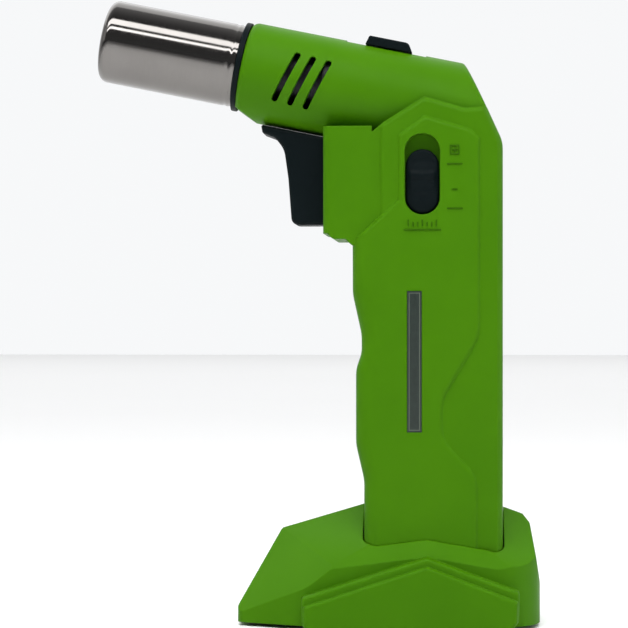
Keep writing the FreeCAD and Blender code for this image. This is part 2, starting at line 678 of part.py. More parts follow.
def adjuster_ring():
    """Flow ring on the valve's neck, with an arm and pin that the slider's cam moves."""
    ring = pipe(TANK_X, 0, RING_Z, Z, VALVE_NECK_R + 2.4, VALVE_NECK_R + 0.08, 3)
    arm = box(TANK_X - 1.5, TANK_X + 1.5, -PIN_REACH + 1.6, -VALVE_NECK_R - 1, RING_Z + 0.4, RING_Z + 2.6)
    pin = rod(TANK_X, -PIN_REACH - 0.5, RING_Z + 1.5, Y, 1.0, 2.2)
    whole = fuse([ring, arm, pin])
    whole.rotate(V(TANK_X, 0, 0), Z, -math.degrees(math.asin(CAM_SWING / PIN_REACH)))
    return whole


# ---- flow slider ------------------------------------------------------------------------


def slider_plate():
    """Plate behind the slider's opening, with the slanted cam slot at its foot."""
    x, z = SLOT_CENTRE
    w = 5.7
    upper = [(x - w, z - 15.2), (x + w, z - 15.2), (x + w, z + 7.6), (x + 2, z + 12.2), (x - 2, z + 12.2), (x - w, z + 7.6)]
    cam_z = RING_Z + 1.5
    lower = box(TANK_X - 5.5, TANK_X + 5.5, PLATE_Y[0], PLATE_Y[1], cam_z - 7.5, cam_z + 4.5)
    neck = box(x - 2.6, x + 3.4, PLATE_Y[0], PLATE_Y[1], cam_z + 4, z - 15)
    a, b = TANK_X - CAM_SWING, TANK_X + CAM_SWING
    r = 1.0 + FIT
    run = Part.makeBox(2 * r, 4, math.hypot(b - a, SLIDER_TRAVEL), V(-r, 0, 0))
    angle = math.degrees(math.atan2(b - a, -SLIDER_TRAVEL))
    run.Placement = FreeCAD.Placement(V(a, -15, cam_z), FreeCAD.Rotation(Y, angle))
    ends = [rod(a, -15, cam_z, Y, r, 4), rod(b, -15, cam_z - SLIDER_TRAVEL, Y, r, 4)]
    return cut_all(fuse([side_plate(upper, *PLATE_Y), lower, neck]), [run] + ends)


def slider_knob():
    """Thumb knob in the opening, with cross ridges."""
    x, z = SLOT_CENTRE
    z0 = z - SLOT_L / 2 + FIT
    z1 = z + SLOT_L / 2 - FIT - SLIDER_TRAVEL
    knob = obround(x, z0, z1, SLOT_W - 2 * FIT, -16.0, PLATE_Y[0])
    ridges = []
    for i in range(3):
        zc = z + 3.4 - 1.6 * i
        ridges.append(box(x - 4.2, x + 4.2, -16.9, -15.9, zc - 0.4, zc + 0.4))
    return fuse([knob] + ridges)


# ---- lock button ------------------------------------------------------------------------
def lock_button():
    """Sliding lock on top of the barrel, with grip grooves and its stem."""
    half = LOCK_BUTTON / 2
    low = LOCK_FLOOR_V + FIT
    top = LOCK_FLOOR_V + 2.9
    corners = [(LOCK_U - half, low), (LOCK_U + half, low), (LOCK_U + half - 0.7, top, 0.6), (LOCK_U - half + 1.6, top, 1.6)]
    pad = outline(corners, lambda a, b: V(a, -5.2, b)).extrude(V(0, 10.4, 0))
    grooves = [Part.makeBox(0.8, 8.4, 2, V(LOCK_U - 3.4 + 2.0 * i, -4.2, top - 0.5)) for i in range(4)]
    stem = Part.makeBox(LOCK_STEM, 4.4, 6, V(LOCK_U - LOCK_STEM / 2, -2.2, LOCK_BAR_V))
    return tilt(cut_all(pad, grooves).fuse(stem).removeSplitter())


def lock_bar():
    """Steel hook under the lock button that reaches down beside the jet to the trigger."""
    plate = Part.makeBox(5, 9.6, 1.2, V(LOCK_U - 2.5, -7.2, LOCK_BAR_V - 1.2))
    leg = Part.makeBox(5, 1.2, LOCK_BAR_V - 138.0, V(LOCK_U - 2.5, -7.2, 138.0))
    foot = Part.makeBox(5, 3.4, 1.2, V(LOCK_U - 2.5, -7.2, 136.8))
    return tilt(fuse([plate, leg, foot]))


# ---- fuel tank and refill valve ---------------------------------------------------------


def tank_outline(shrink):
    x, y = TANK_HALF_X - shrink, TANK_HALF_Y - shrink
    r = 6.0 - shrink
    return [(TANK_X - x, -y, r), (TANK_X + x, -y, r), (TANK_X + x, y, r), (TANK_X - x, y, r)]


def tank_body():
    outer = plan_plate(tank_outline(0), TANK_BOTTOM, TANK_TOP)
    inner = plan_plate(tank_outline(TANK_WALL), TANK_BOTTOM - 1, TANK_TOP - TANK_WALL)
    return cut_all(outer, [inner, rod(TANK_X, 0, TANK_TOP - 5, Z, VALVE_R + SEAT, 10)])


def tank_cap():
    plate = plan_plate(tank_outline(0), TANK_BOTTOM - 2.2, TANK_BOTTOM)
    plug = plan_plate(tank_outline(TANK_WALL + SEAT), TANK_BOTTOM, TANK_BOTTOM + 3)
    return fuse([plate, plug]).cut(rod(TANK_X, 0, 0, Z, REFILL_R + SEAT, 40))


def refill_valve():
    """Refill valve through the tank cap, its nose flush in the handle's foot."""
    nose = rod(TANK_X, 0, HANDLE_BOTTOM + 0.8, Z, REFILL_R - 1.2, 4)
    body = rod(TANK_X, 0, HANDLE_BOTTOM + 2.6, Z, REFILL_R, 17.4)
    bore = rod(TANK_X, 0, 0, Z, 1.0 + FIT, 60)
    chamber = rod(TANK_X, 0, 12.2, Z, 3.4, 11.0)
    return cut_all(fuse([nose, body]), [bore, chamber])


def refill_stem():
    pin = rod(TANK_X, 0, HANDLE_BOTTOM + 0.4, Z, 1.0, 8.5)
    collar = rod(TANK_X, 0, 12.5, Z, 3.0, 1.2)
    return fuse([pin, collar])


def refill_spring():
    return coil(TANK_X, 0, 13.75, 2.2, 0.3, 9.4, 5)


def refill_seal():
    return pipe(TANK_X, 0, TANK_BOTTOM - 3.5, Z, REFILL_R + 1.4, REFILL_R + SEAT, 1.3)


# ---- stand ------------------------------------------------------------------------------


def stand_roof(drop):
    """Roof planes of the stand and of the socket's rim, lowered by drop."""
    front = V(RIDGE_X, 0, RIDGE_Z - drop)
    back = V(HANDLE_BACK + 1.5, 0, RIDGE_BACK_Z - drop)
    roof = []
    for side in (-1, 1):
        roof.append(below(front, V(-0.30, side * 0.62, 1)))
        roof.append(below(back, V(0.36, side * 0.70, 1)))
        rim = V(RIM_PEAK[0], side * (HANDLE_HALF + SOCKET_GAP), RIM_PEAK[1] - drop)
        roof.append(below(rim, V(-0.13, side * RIM_SLOPE, 1)))
        roof.append(below(rim, V(0.17, side * RIM_SLOPE, 1)))
        roof.append(below(V(1.2, side * STAND_SIDE, 14.0 - drop), V(-0.78, side * 0.98, 1)))
    roof.append(below(V(60.4, 0, 28.0 - drop), V(1.33, 0, 1)))
    return roof


def stand_solid(inset, base_z):
    """Outer body of the stand, or its hollow when inset by a wall."""
    f, b, h = STAND_FRONT + inset, STAND_BACK - inset, STAND_SIDE - inset
    r = max(14.0 - inset, 1)
    plan = [(f, -14 + inset, 3), (-2, -h, 12), (b, -h, r), (b, h, r), (-2, h, 12), (f, 14 - inset, 3)]
    side = [
        (f, base_z), (f, 5.4, 2), (-10.2 + inset * 0.9, 26.2 - inset * 0.4, 4), (RIDGE_X, 40),
        (HANDLE_BACK + 2, 40), (STAND_BACK - 3.0 - inset, 30.6 - inset, 9), (b, 12.0, 6), (b, base_z),
    ]
    body = plan_plate(plan, base_z, 60).common(side_plate(side, -40, 40))
    for plane in stand_roof(inset * 1.25):
        body = body.common(plane)
    return body


def chevron(half, rise, front, back):
    """Chevron panels standing out on both sides of the stand and reaching the table."""
    peak = CHEVRON_PEAK - rise
    shape = [
        (front + 1.6, 0), (front, 1.6, 0.8), (front, 9.3 - rise, 1), (RIM_PEAK[0], peak, 2), (back, 11.2 - rise, 1),
        (back - 0.2, 3.0, 1), (back - 2.5, 0),
    ]
    return raised(shape, half, STEP_ROUND, 4.0)


def stand():
    """Hollow moulded stand with a socket for the handle."""
    g = SOCKET_GAP
    x0, x1, y = HANDLE_FRONT[0][0] - g, HANDLE_BACK + g, HANDLE_HALF + g
    r = EDGE_R + g
    pocket = [(x0, -y, r), (x1, -y, r), (x1, y, r), (x0, y, r)]
    w = STAND_WALL
    wall = [(x0 - w, -y - w, r + w), (x1 + w, -y - w, r + w), (x1 + w, y + w, r + w), (x0 - w, y + w, r + w)]
    solid = stand_solid(0, FOOT_RISE)
    steps = [chevron(STAND_HALF - CHEVRON_STEP, 0, -3.1, 56.8), chevron(STAND_HALF, 2.3, -2.6, 56.4)]
    solid = fuse([solid] + steps)
    hollow = stand_solid(w, -1)
    wings = side_plate([(0, -1), (0, 5.5), (31.5, 15.5), (53.5, 7.5), (53.5, -1)], -STAND_HALF + w, STAND_HALF - w)
    shell = cut_all(solid, [hollow, wings])
    socket = plan_plate(wall, SOCKET_FLOOR - w, 60).common(stand_solid(0.2, FOOT_RISE))
    floor_hole = rod(TANK_X, 0, 0, Z, 7, 20)
    return cut_all(fuse([shell, socket]), [plan_plate(pocket, SOCKET_FLOOR, 70), floor_hole])


PARTS = {
    "nozzle_tube": nozzle_tube, "nozzle_collar": nozzle_collar, "flame_holder": flame_holder,
    "mixing_tube": mixing_tube, "burner_head": burner_head, "jet_body": jet_body, "gas_jet": gas_jet,
    "burner_bracket": burner_bracket, "spark_insulator": spark_insulator, "electrode": electrode,
    "ignition_wire": ignition_wire, "gas_hose": gas_hose, "piezo_body": piezo_body,
    "piezo_plunger": piezo_plunger, "trigger": trigger, "gas_lever": gas_lever, "lever_pin": lever_pin,
    "outlet_valve": outlet_valve, "outlet_stem": outlet_stem, "outlet_spring": outlet_spring,
    "valve_nut": valve_nut, "valve_seal": valve_seal, "gas_filter": gas_filter, "dip_tube": dip_tube,
    "adjuster_ring": adjuster_ring, "slider_plate": slider_plate, "slider_knob": slider_knob,
    "lock_button": lock_button, "lock_bar": lock_bar, "tank_body": tank_body, "tank_cap": tank_cap,
    "refill_valve": refill_valve, "refill_stem": refill_stem, "refill_spring": refill_spring,
    "refill_seal": refill_seal, "label_plate": label_plate, "shell_screws": shell_screws, "stand": stand,
}


if __name__ == "__main__":
    left_shell, right_shell = shells()
    save("left_shell", left_shell)
    save("right_shell", right_shell)
    for name, make in PARTS.items():
        save(name, make())
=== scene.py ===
"""Looks of a hand-held butane torch on its stand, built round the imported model."""
import json
import math
import bmesh
import bpy
import numpy as np
from bpy.props import FloatProperty, FloatVectorProperty, IntProperty, PointerProperty
from bpy.types import Operator, Panel, PropertyGroup
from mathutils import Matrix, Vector


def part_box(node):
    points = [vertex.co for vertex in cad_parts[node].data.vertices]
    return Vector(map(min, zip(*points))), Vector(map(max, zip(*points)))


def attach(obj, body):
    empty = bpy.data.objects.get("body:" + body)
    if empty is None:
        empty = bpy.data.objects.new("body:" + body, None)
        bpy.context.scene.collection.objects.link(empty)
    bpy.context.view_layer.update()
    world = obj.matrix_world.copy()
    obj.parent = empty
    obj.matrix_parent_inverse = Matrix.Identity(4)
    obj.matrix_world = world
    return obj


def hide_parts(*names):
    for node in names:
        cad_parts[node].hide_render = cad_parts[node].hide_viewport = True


bl_info = {
    "name": "Butane torch",
    "version": (1, 0, 0),
    "blender": (4, 5, 0),
    "location": "3D view > Sidebar > Torch",
    "description": "Builds the visible pieces, finishes and stage of a butane torch",
    "category": "Object",
}

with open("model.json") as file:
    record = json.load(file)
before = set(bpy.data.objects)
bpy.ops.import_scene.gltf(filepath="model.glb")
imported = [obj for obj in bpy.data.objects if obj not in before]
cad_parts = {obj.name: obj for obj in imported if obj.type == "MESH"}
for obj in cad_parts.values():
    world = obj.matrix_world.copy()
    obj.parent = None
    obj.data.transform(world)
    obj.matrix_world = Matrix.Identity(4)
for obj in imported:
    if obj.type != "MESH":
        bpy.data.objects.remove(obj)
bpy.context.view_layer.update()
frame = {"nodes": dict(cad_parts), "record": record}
MM = 0.001
BODY = frame["record"]["behaviour"]["bodies"]
BODY_OF = {node: body for body, members in BODY.items() for node in members}

# The finish that each material slot takes, and the raised marks' darker green, which is painted shade.
FINISH_OF = {
    "body_green": "satin_green", "dark_plastic": "dark_trim", "stainless": "flame_tube_steel",
    "steel": "plated_steel", "black_steel": "blackened_steel", "brass": "machined_brass",
    "nylon": "natural_nylon", "ceramic": "white_ceramic", "rubber": "black_rubber",
    "wire_red": "red_insulation", "label_black": "label_foil"}
MARKS_PAINTED_SHADE = "shaded_green"

# Knob's cross ridges: height above the floor, share of the full rise, half thickness.
KNOB_RIDGES = ((126.4, 1.2, 0.34), (124.8, 0.7, 0.34), (123.4, 0.5, 0.34), (122.0, 0.4, 0.34))
KNOB_RIDGE_RISE = 1.05 * MM
KNOB_RIM = 0.7 * MM
KNOB_SCOOP = (130.2 * MM, 1.6 * MM, 0.35)     # height above the floor, spread, share of the rise
KNOB_STEPS = 200

# Marks beside the slider: the plus and its frame, the minus, a line under each, a row of ticks.
MARK_WIDTH = 0.36 * MM
MARK_X = 39.1 * MM
PLUS_Z, MINUS_Z = 133.1 * MM, 122.1 * MM
PLUS_ARM, FRAME_HALF, LINE_HALF = 0.6 * MM, 1.15 * MM, 2.0 * MM
PLUS_LINE_DROP, MINUS_LINE_DROP = 3.9 * MM, 5.3 * MM
TICKS, TICK_STEP, LONG_EVERY = 7, 1.3 * MM, 3
TICK_FOOT, TICK_SHORT, TICK_LONG = 0.6 * MM, 0.3 * MM, 0.9 * MM
TICKS_X, TICKS_Z = 30.1 * MM, 112.6 * MM
TICK_LINE_HALF, TICK_LINE_DROP = 5 * MM, 1.7 * MM

# Lights: azimuth and elevation in degrees, distance, width, height, power's name, mirrored.
LIGHTS = {
    "key_softbox": (-8.0, 56.0, 1.0, 1.5, 0.27, "key", True),
    "strip_light": (-4.0, 38.0, 1.0, 1.5, 0.11, "strip", True),
    "top_softbox": (-15.0, 72.0, 1.0, 0.8, 0.25, "top", False),
    "side_fill": (-70.0, 25.0, 1.3, 0.7, 0.7, "fill", True),
    "edge_strip": (78.0, 12.0, 0.9, 0.12, 1.0, "edge", True)}
WASH_LIGHT = (0.0, 88.0, 2.2, 7.0, 3.6, "wash", True)
WASH_AIM = (0.0, 2.6, 0.0)
FLOOR_REACH = 4.0
FLOOR_LINES = 9


# ---- sizes and colours a user may change ----------------------------------------------

class TorchShape(PropertyGroup):
    barrel_tilt: FloatProperty(
        name="Barrel tilt", description="How far the nozzle is raised above level",
        default=math.radians(11.5), subtype="ANGLE")
    burner_height: FloatProperty(
        name="Burner height", description="Distance of the burner's axis from the origin",
        default=150.8 * MM, unit="LENGTH")
    tube_radius: FloatProperty(
        name="Tube radius", description="Outside radius of the flame tube",
        default=11.8 * MM, unit="LENGTH")
    tube_wall: FloatProperty(
        name="Tube wall", description="Thickness of the flame tube's sheet",
        default=0.7 * MM, unit="LENGTH")
    tube_tip: FloatProperty(
        name="Tube tip", description="Where the flame tube ends along the barrel",
        default=93.05 * MM, unit="LENGTH")
    mouth_roll: FloatProperty(
        name="Mouth roll", description="Radius of the mouth, rolled inward",
        default=2.6 * MM, unit="LENGTH")
    tube_root: FloatProperty(
        name="Tube root", description="Where the flame tube starts, against the collar",
        default=53.65 * MM, unit="LENGTH")
    soft_edge: FloatProperty(
        name="Soft edge", description="Rounding of the moulded edges",
        default=0.45 * MM, unit="LENGTH")
    stand_edge: FloatProperty(
        name="Stand edge", description="Rounding of the stand's edges",
        default=0.8 * MM, unit="LENGTH")
    trim_edge: FloatProperty(
        name="Trim edge", description="Rounding of the trigger's, lock's and collar's edges",
        default=0.25 * MM, unit="LENGTH")
    mark_rise: FloatProperty(
        name="Mark rise", description="How far the moulded marks stand proud",
        default=0.32 * MM, unit="LENGTH")
    knob_crown: FloatProperty(
        name="Knob crown", description="How far the slider knob's face swells",
        default=0.2 * MM, unit="LENGTH")
    around: IntProperty(
        name="Steps round", description="Steps round each turned piece", default=160)


class TorchColours(PropertyGroup):
    body: FloatVectorProperty(
        name="Body green", description="Colour of the shells and the stand",
        default=(0.050, 0.168, 0.0010), subtype="COLOR", size=3)
    body_shade: FloatVectorProperty(
        name="Body shade", description="Darker mottling in the green",
        default=(0.041, 0.146, 0.0008), subtype="COLOR", size=3)
    trim: FloatVectorProperty(
        name="Dark trim", description="Colour of the trigger, knob, lock and collar",
        default=(0.0034, 0.0070, 0.0080), subtype="COLOR", size=3)
    steel: FloatVectorProperty(
        name="Tube steel", description="Colour of the flame tube",
        default=(0.17, 0.162, 0.155), subtype="COLOR", size=3)
    brass: FloatVectorProperty(
        name="Brass", description="Colour of the burner and valves",
        default=(0.62, 0.42, 0.16), subtype="COLOR", size=3)
    floor: FloatVectorProperty(
        name="Floor", description="Colour of the floor",
        default=(0.93, 0.93, 0.93), subtype="COLOR", size=3)


class TorchStage(PropertyGroup):
    aim: FloatVectorProperty(
        name="Aim", description="Point the camera looks at",
        default=(-1.1 * MM, 0.0, 87.45 * MM), subtype="XYZ", size=3)
    distance: FloatProperty(
        name="Distance", description="Distance from the camera to its aim",
        default=0.62, unit="LENGTH")
    yaw: FloatProperty(
        name="Yaw", description="How far the camera is swung towards the handle",
        default=math.radians(3.5), subtype="ANGLE")
    lens: FloatProperty(
        name="Lens", description="Focal length in millimetres", default=124.0)
    key: FloatProperty(
        name="Key light", description="Power of the large softbox in watts", default=7.2)
    strip: FloatProperty(
        name="Strip light", description="Power of the strip light in watts", default=3.7)
    top: FloatProperty(
        name="Top light", description="Power of the overhead softbox in watts", default=6.2)
    fill: FloatProperty(
        name="Fill light", description="Power of the fill light in watts", default=0.8)
    edge: FloatProperty(
        name="Edge strip", description="Power of the upright strip beside the back, in watts", default=2.5)
    wash: FloatProperty(
        name="Backdrop wash", description="Power of the light over the floor behind, in watts", default=85.0)
    sky: FloatProperty(
        name="Backdrop", description="Brightness of the surroundings behind the torch", default=0.95)
    front: FloatProperty(
        name="Front", description="Brightness of the surroundings in front of the torch", default=0.13)
    zenith: FloatProperty(
        name="Overhead", description="Share of the brightness left straight overhead", default=0.6)


def shape():
    """The torch's sizes."""
    return bpy.context.scene.torch_shape


def colours():
    """The torch's colours."""
    return bpy.context.scene.torch_colours


def stage():
    """The stage's settings."""
    return bpy.context.scene.torch_stage


# ---- finishes --------------------------------------------------------------------------

class Finish:
    """A material under construction, with its node tree and its shader."""

    def __init__(self, name):
        self.material = bpy.data.materials.new(name)
        self.material.use_nodes = True
        self.tree = self.material.node_tree
        self.shader = self.tree.nodes["Principled BSDF"]
        self.place = self.add("ShaderNodeTexCoord").outputs["Object"]

    def add(self, kind, links=None, **settings):
        """Adds a node; links maps its inputs to values or to other nodes' outputs."""
        node = self.tree.nodes.new(kind)
        for key, value in settings.items():
            setattr(node, key, value)
        for key, value in (links or {}).items():
            self.feed(node.inputs[key], value)
        return node

    def feed(self, socket, value):
        """Links another node's output into a socket, or sets a plain value on it."""
        if isinstance(value, bpy.types.NodeSocket):
            self.tree.links.new(value, socket)
        else:
            socket.default_value = value

    def noise(self, scale, detail=2.0, roughness=0.5, place=None):
        """Noise over the piece, scale in cells to the metre."""
        links = {"Vector": place or self.place, "Scale": scale, "Detail": detail, "Roughness": roughness}
        return self.add("ShaderNodeTexNoise", links).outputs["Fac"]

    def between(self, value, low, high, out_low, out_high):
        """Carries a value's range onto another range."""
        links = {"Value": value, "From Min": low, "From Max": high, "To Min": out_low, "To Max": out_high}
        return self.add("ShaderNodeMapRange", links).outputs["Result"]

    def math(self, operation, a, b=0.0):
        return self.add("ShaderNodeMath", {0: a, 1: b}, operation=operation).outputs[0]

    def mix(self, share, a, b):
        """Blends two colours by a share from 0 to 1."""
        node = self.add("ShaderNodeMix", data_type="RGBA")
        self.feed(node.inputs[0], share)
        self.feed(node.inputs[6], a if isinstance(a, bpy.types.NodeSocket) else (*a, 1.0))
        self.feed(node.inputs[7], b if isinstance(b, bpy.types.NodeSocket) else (*b, 1.0))
        return node.outputs[2]

    def bump(self, height, depth, strength=1.0, under=None):
        """Normal of a raised pattern depth metres high, over another normal where one is given."""
        links = {"Height": height, "Distance": depth, "Strength": strength}
        if under is not None:
            links["Normal"] = under
        return self.add("ShaderNodeBump", links).outputs["Normal"]

    def edge(self, radius):
        """Rounded normal, and a share that is 1 on sharp edges and 0 on flats."""
        rounded = self.add("ShaderNodeBevel", {"Radius": radius}, samples=4).outputs["Normal"]
        flat = self.add("ShaderNodeNewGeometry").outputs["Normal"]
        dot = self.add("ShaderNodeVectorMath", {0: rounded, 1: flat}, operation="DOT_PRODUCT")
        return rounded, self.between(dot.outputs["Value"], 0.995, 0.85, 0.0, 1.0)

    def done(self, **shader):
        """Sets the shader's inputs and gives the finished material."""
        names = {"color": "Base Color", "rough": "Roughness", "metal": "Metallic", "normal": "Normal",
                 "specular": "Specular IOR Level", "coat": "Coat Weight", "coat_rough": "Coat Roughness",
                 "sheen": "Sheen Weight", "turned": "Anisotropic"}
        for key, value in shader.items():
            if key == "color" and not isinstance(value, bpy.types.NodeSocket):
                value = (*value, 1.0)
            self.feed(self.shader.inputs[names[key]], value)
        return self.material


def moulded(name, tint, shade, rough, grain=2600.0, depth=0.012, wear_and_highlight_share=0.35, highlight_lift=1.5, specular=0.5):
    """Moulded plastic: faint mottling, a spark-eroded grain, and edges painted lighter, a painted highlight
    broken up by scuffed wear.
    """
    f = Finish(name)
    rounded, edge = f.edge(0.5 * MM)
    mottle = f.between(f.noise(38.0, 3.0), 0.3, 0.7, 0.0, 1.0)
    flow = f.between(f.noise(9.0, 2.0), 0.35, 0.65, 0.0, 0.5)
    base = f.mix(f.math("MULTIPLY", f.math("ADD", mottle, flow), 0.66), tint, shade)
    scuffs = f.between(f.noise(420.0, 4.0, 0.65), 0.42, 0.7, 0.25, 1.0)
    # Painted highlight: sharp edges lightened through the bevel mask, patched by scuff noise as wear
    wear_and_highlight = f.math("MULTIPLY", f.math("MULTIPLY", edge, scuffs), wear_and_highlight_share)
    # Lighter tint of the painted edge highlight
    light = tuple(min(1.0, highlight_lift * c + 0.01) for c in tint)
    grains = f.noise(grain, 2.0, 0.6)
    coarse = f.noise(grain * 0.3, 2.0, 0.5)
    normal = f.bump(f.math("ADD", grains, f.math("MULTIPLY", coarse, 0.6)), depth * MM, 1.0, rounded)
    rub = f.between(f.noise(70.0, 4.0, 0.6), 0.3, 0.7, rough - 0.05, rough + 0.07)
    smoother = f.math("MULTIPLY", wear_and_highlight, 0.12)
    return f.done(color=f.mix(wear_and_highlight, base, light), rough=f.math("SUBTRACT", rub, smoother),
                  normal=normal, specular=specular)


def drawn_steel(name, tint, rough, along, tilt, depth=0.002):
    """Drawn and polished metal: fine turning marks round an axis, smears and small scratches."""
    f = Finish(name)
    turn = f.add("ShaderNodeMapping", {"Vector": f.place, "Rotation": (0.0, tilt, 0.0)})
    fine = f.add("ShaderNodeMapping", {"Vector": turn.outputs[0], "Scale": along})
    lines = f.noise(420.0, 3.0, 0.7, fine.outputs[0])
    smear = f.noise(55.0, 4.0, 0.55)
    tone = f.mix(f.between(smear, 0.35, 0.7, 0.0, 0.55), tint, tuple(0.80 * c for c in tint))
    tone = f.mix(f.between(lines, 0.35, 0.7, 0.0, 0.30), tone, tuple(1.12 * c for c in tint))
    roughness = f.math("ADD", f.between(lines, 0.3, 0.7, rough - 0.03, rough + 0.04),
                       f.between(smear, 0.3, 0.7, -0.02, 0.04))
    return f.done(color=tone, metal=1.0, rough=roughness, normal=f.bump(lines, depth * MM, 0.6), turned=0.25)


def cast_metal(name, tint, rough, stain=0.5):
    """Machined brass or plated steel: tool marks, a mottled tarnish and edges painted brighter as a
    highlight.
    """
    f = Finish(name)
    rounded, edge = f.edge(0.2 * MM)
    tarnish = f.between(f.noise(260.0, 5.0, 0.6), 0.4, 0.72, 0.0, stain)
    base = f.mix(tarnish, tint, tuple(0.55 * c for c in tint))
    # Painted highlight: edges lightened through the bevel mask
    base = f.mix(f.math("MULTIPLY", edge, 0.6), base, tuple(min(1.0, 1.35 * c) for c in tint))
    marks = f.noise(1500.0, 3.0, 0.7)
    return f.done(color=base, metal=1.0, rough=f.between(marks, 0.3, 0.7, rough - 0.06, rough + 0.10),
                  normal=f.bump(marks, 0.003 * MM, 0.7, rounded))


def soft_rubber(name, tint, rough=0.72):
    """Rubber and insulation: dusty mottling over a fine matt skin."""
    f = Finish(name)
    dust = f.between(f.noise(300.0, 4.0, 0.6), 0.4, 0.75, 0.0, 0.35)
    skin = f.noise(3200.0, 2.0)
    return f.done(color=f.mix(dust, tint, tuple(0.75 * c + 0.02 for c in tint)), sheen=0.1,
                  rough=f.between(skin, 0.3, 0.7, rough - 0.06, rough + 0.06),
                  normal=f.bump(skin, 0.01 * MM))


def glazed(name, tint, rough):
    """Fired ceramic and nylon: pale body with specks under a thin clear gloss."""
    f = Finish(name)
    specks = f.between(f.noise(1400.0, 2.0, 0.7), 0.62, 0.75, 0.0, 0.4)
    waves = f.noise(240.0, 3.0)
    return f.done(color=f.mix(specks, tint, tuple(0.7 * c for c in tint)), coat=0.4, coat_rough=0.12,
                  rough=f.between(waves, 0.3, 0.7, rough - 0.05, rough + 0.08),
                  normal=f.bump(waves, 0.01 * MM))


def printed_label(name, tint):
    """Dark foil label: a pale border line round a satin field."""
    f = Finish(name)
    lo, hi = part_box("label_plate")
    split = f.add("ShaderNodeSeparateXYZ", {"Vector": f.place})
    inset = []
    for axis, label in ((0, "X"), (2, "Z")):
        middle, half = (lo[axis] + hi[axis]) / 2, (hi[axis] - lo[axis]) / 2
        away = f.math("ABSOLUTE", f.math("SUBTRACT", split.outputs[label], middle))
        inset.append(f.math("SUBTRACT", half, away))
    near = f.math("MINIMUM", inset[0], inset[1])
    off = f.math("ABSOLUTE", f.math("SUBTRACT", near, 0.55 * MM))
    line = f.between(off, 0.08 * MM, 0.14 * MM, 1.0, 0.0)
    weave = f.noise(2800.0, 2.0)
    fleck = f.between(f.noise(700.0, 3.0), 0.4, 0.7, 0.0, 0.3)
    field = f.mix(fleck, tint, tuple(1.6 * c + 0.004 for c in tint))
    return f.done(color=f.mix(f.math("MULTIPLY", line, 0.35), field, (0.20, 0.24, 0.18)),
                  rough=f.between(weave, 0.3, 0.7, 0.30, 0.42), normal=f.bump(weave, 0.006 * MM))


def make_finishes():
    """One material for each slot of the record, and one for the raised marks, darkened as painted shade."""
    c = colours()
    green, shade = tuple(c.body), tuple(c.body_shade)
    moulded(FINISH_OF["body_green"], green, shade, 0.46, specular=0.06)
    # The marks' green at half strength: painted shade standing in for the shading of moulded marks.
    moulded(MARKS_PAINTED_SHADE, tuple(0.5 * part for part in green), shade, 0.6, specular=0.06)
    # The dark trim takes a stronger painted edge highlight.
    moulded(FINISH_OF["dark_plastic"], tuple(c.trim), (0.0026, 0.0052, 0.0062), 0.45,
            highlight_lift=3.0, wear_and_highlight_share=0.6, specular=0.06)
    drawn_steel(FINISH_OF["stainless"], tuple(c.steel), 0.10, (9.0, 0.6, 0.6), -shape().barrel_tilt)
    cast_metal(FINISH_OF["steel"], (0.55, 0.55, 0.56), 0.30, 0.35)
    cast_metal(FINISH_OF["black_steel"], (0.030, 0.030, 0.033), 0.42, 0.5)
    cast_metal(FINISH_OF["brass"], tuple(c.brass), 0.28)
    glazed(FINISH_OF["nylon"], (0.72, 0.70, 0.62), 0.45)
    glazed(FINISH_OF["ceramic"], (0.80, 0.78, 0.72), 0.30)
    soft_rubber(FINISH_OF["rubber"], (0.018, 0.018, 0.020))
    soft_rubber(FINISH_OF["wire_red"], (0.45, 0.02, 0.015), 0.5)
    printed_label(FINISH_OF["label_black"], (0.010, 0.018, 0.014))


def finish_of(slot):
    """The finished material of a slot."""
    return bpy.data.materials[FINISH_OF[slot]]


# ---- pieces ----------------------------------------------------------------------------

def on_barrel(u, v, y=0.0):
    """World points of barrel coordinates: u forward along the barrel, v square to it."""
    u, v, y = np.broadcast_arrays(u, v, y)
    tilt = shape().barrel_tilt
    c, s = math.cos(tilt), math.sin(tilt)
    return np.stack([-c * u + s * v, y, s * u + c * v], axis=-1)


def grid_faces(rows, columns, wrap_rows=False, wrap_columns=True):
    """Four-sided faces between the points of a grid stored row by row."""
    r = np.arange(rows if wrap_rows else rows - 1)[:, None]
    c = np.arange(columns if wrap_columns else columns - 1)[None, :]
    r1, c1 = (r + 1) % rows, (c + 1) % columns
    corners = (r * columns + c, r * columns + c1, r1 * columns + c1, r1 * columns + c)
    return np.stack(corners, -1).reshape(-1, 4)


def new_piece(name, points, faces, slot, body, stands_for=()):
    """One closed mesh from worked-out points, with its finish, its body and its slot."""
    mesh = bpy.data.meshes.new(name)
    mesh.from_pydata(points.reshape(-1, 3).tolist(), [], faces.tolist())
    b = bmesh.new()
    b.from_mesh(mesh)
    bmesh.ops.remove_doubles(b, verts=b.verts, dist=1e-7)
    bmesh.ops.dissolve_degenerate(b, edges=b.edges, dist=1e-8)
    bmesh.ops.recalc_face_normals(b, faces=b.faces)
    b.to_mesh(mesh)
    b.free()
    return enrol(bpy.data.objects.new(name, mesh), slot, body, stands_for)


def enrol(piece, slot, body, stands_for=()):
    """Puts a piece in the scene, on its body, in place of the nodes it stands for."""
    bpy.context.scene.collection.objects.link(piece)
    piece.data.shade_smooth()
    piece.data.materials.clear()
    piece.data.materials.append(finish_of(slot))
    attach(piece, body)
    if stands_for:
        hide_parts(*stands_for)
    return piece


